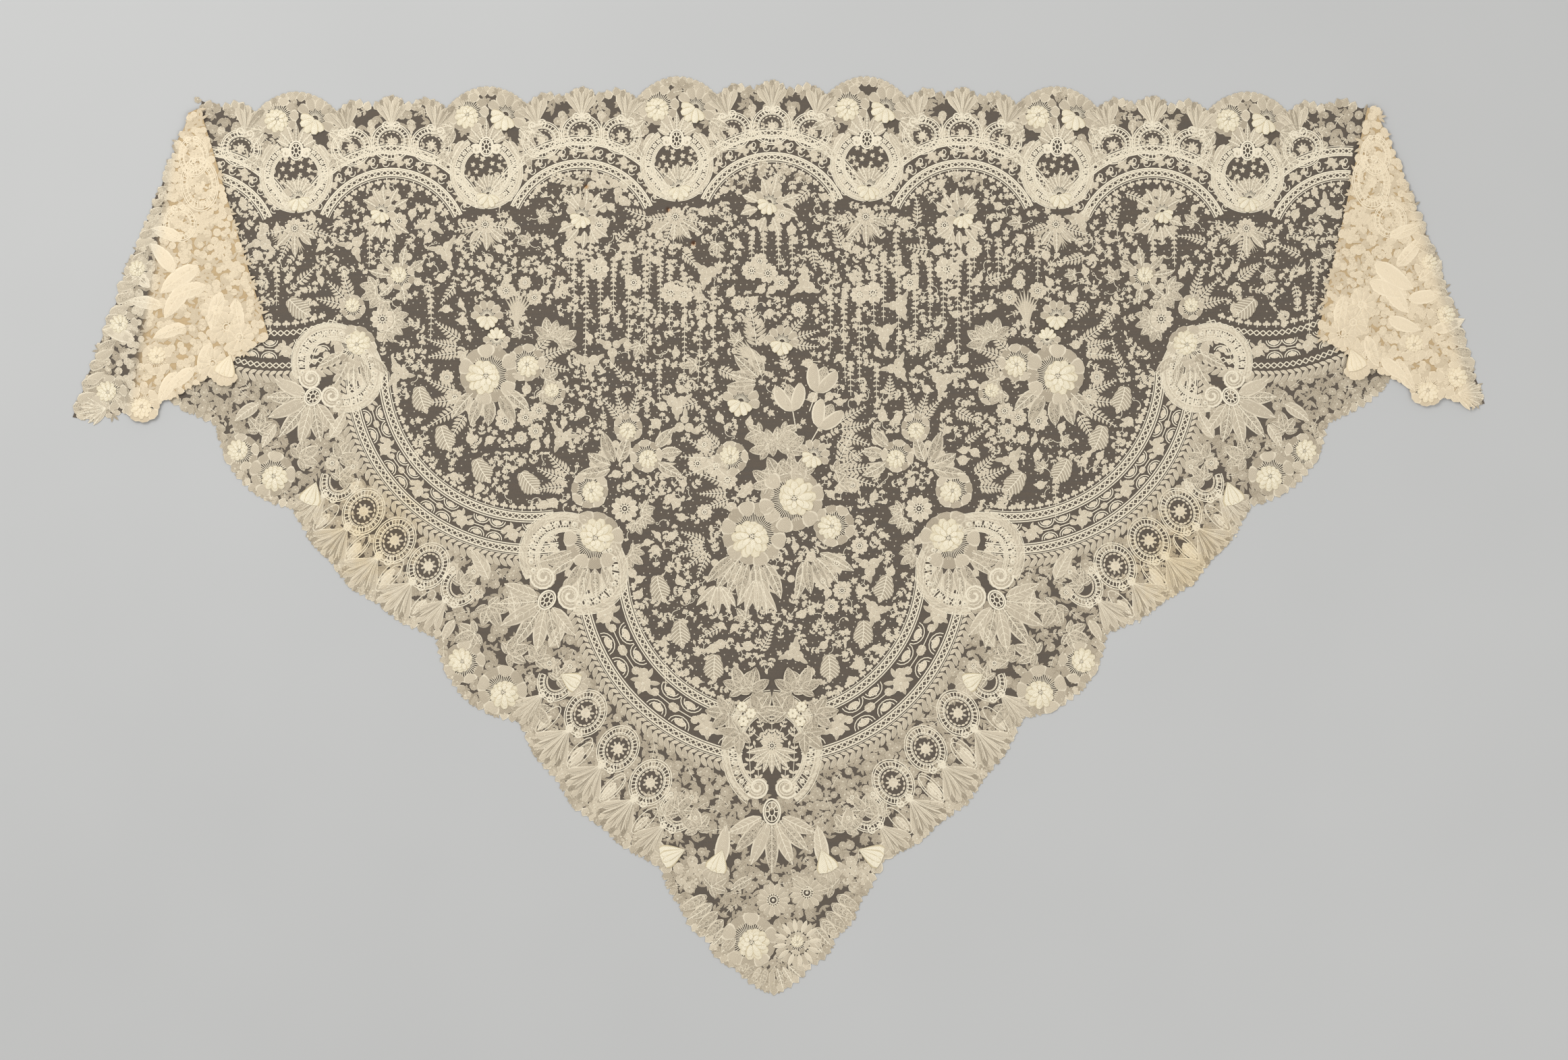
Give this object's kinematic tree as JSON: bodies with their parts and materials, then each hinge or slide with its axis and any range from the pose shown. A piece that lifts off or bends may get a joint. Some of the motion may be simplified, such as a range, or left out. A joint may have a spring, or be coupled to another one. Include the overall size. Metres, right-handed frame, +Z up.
{
  "type": "triangular lace shawl",
  "caption": "Triangular cream lace shawl laid flat, with a flowered net field, beading bands, scroll frames, scalloped borders and both sharp ends folded back on themselves.",
  "frame": {"origin": "on the floor under the middle of the laid-out shawl's box", "axes": "+X along the long edge towards the shawl's right-hand end as seen, +Y from the point towards the long edge, +Z up from the floor through the front"},
  "size_m": [2.093, 1.3548, 0.0051],
  "materials": {
    "net_ground": "matte",
    "needle_lace": "matte",
    "openwork_band": "matte",
    "folded_lace": "matte"
  },
  "bodies": {
    "root": {"top_frame_1": "needle_lace", "top_frame_2": "needle_lace", "top_frame_3": "needle_lace", "top_frame_4": "needle_lace", "top_frame_5": "needle_lace", "top_frame_6": "needle_lace", "frame_left_upper": "needle_lace", "frame_left_lower": "needle_lace", "frame_point": "needle_lace", "frame_right_lower": "needle_lace", "frame_right_upper": "needle_lace", "arch_band_1": "openwork_band", "arch_band_2": "openwork_band", "arch_band_3": "openwork_band", "arch_band_4": "openwork_band", "arch_band_5": "openwork_band", "arch_band_6": "openwork_band", "arch_band_7": "openwork_band", "end_band_left": "openwork_band", "lobe_band_left": "openwork_band", "tip_band_left": "openwork_band", "end_band_right": "openwork_band", "lobe_band_right": "openwork_band", "tip_band_right": "openwork_band", "field": "net_ground", "corner": "needle_lace", "border_top": "needle_lace", "border_left": "needle_lace", "border_right": "needle_lace", "hidden_layer_left": "folded_lace", "flap_left": "folded_lace", "hidden_layer_right": "folded_lace", "flap_right": "folded_lace"}
  },
  "joints": []
}
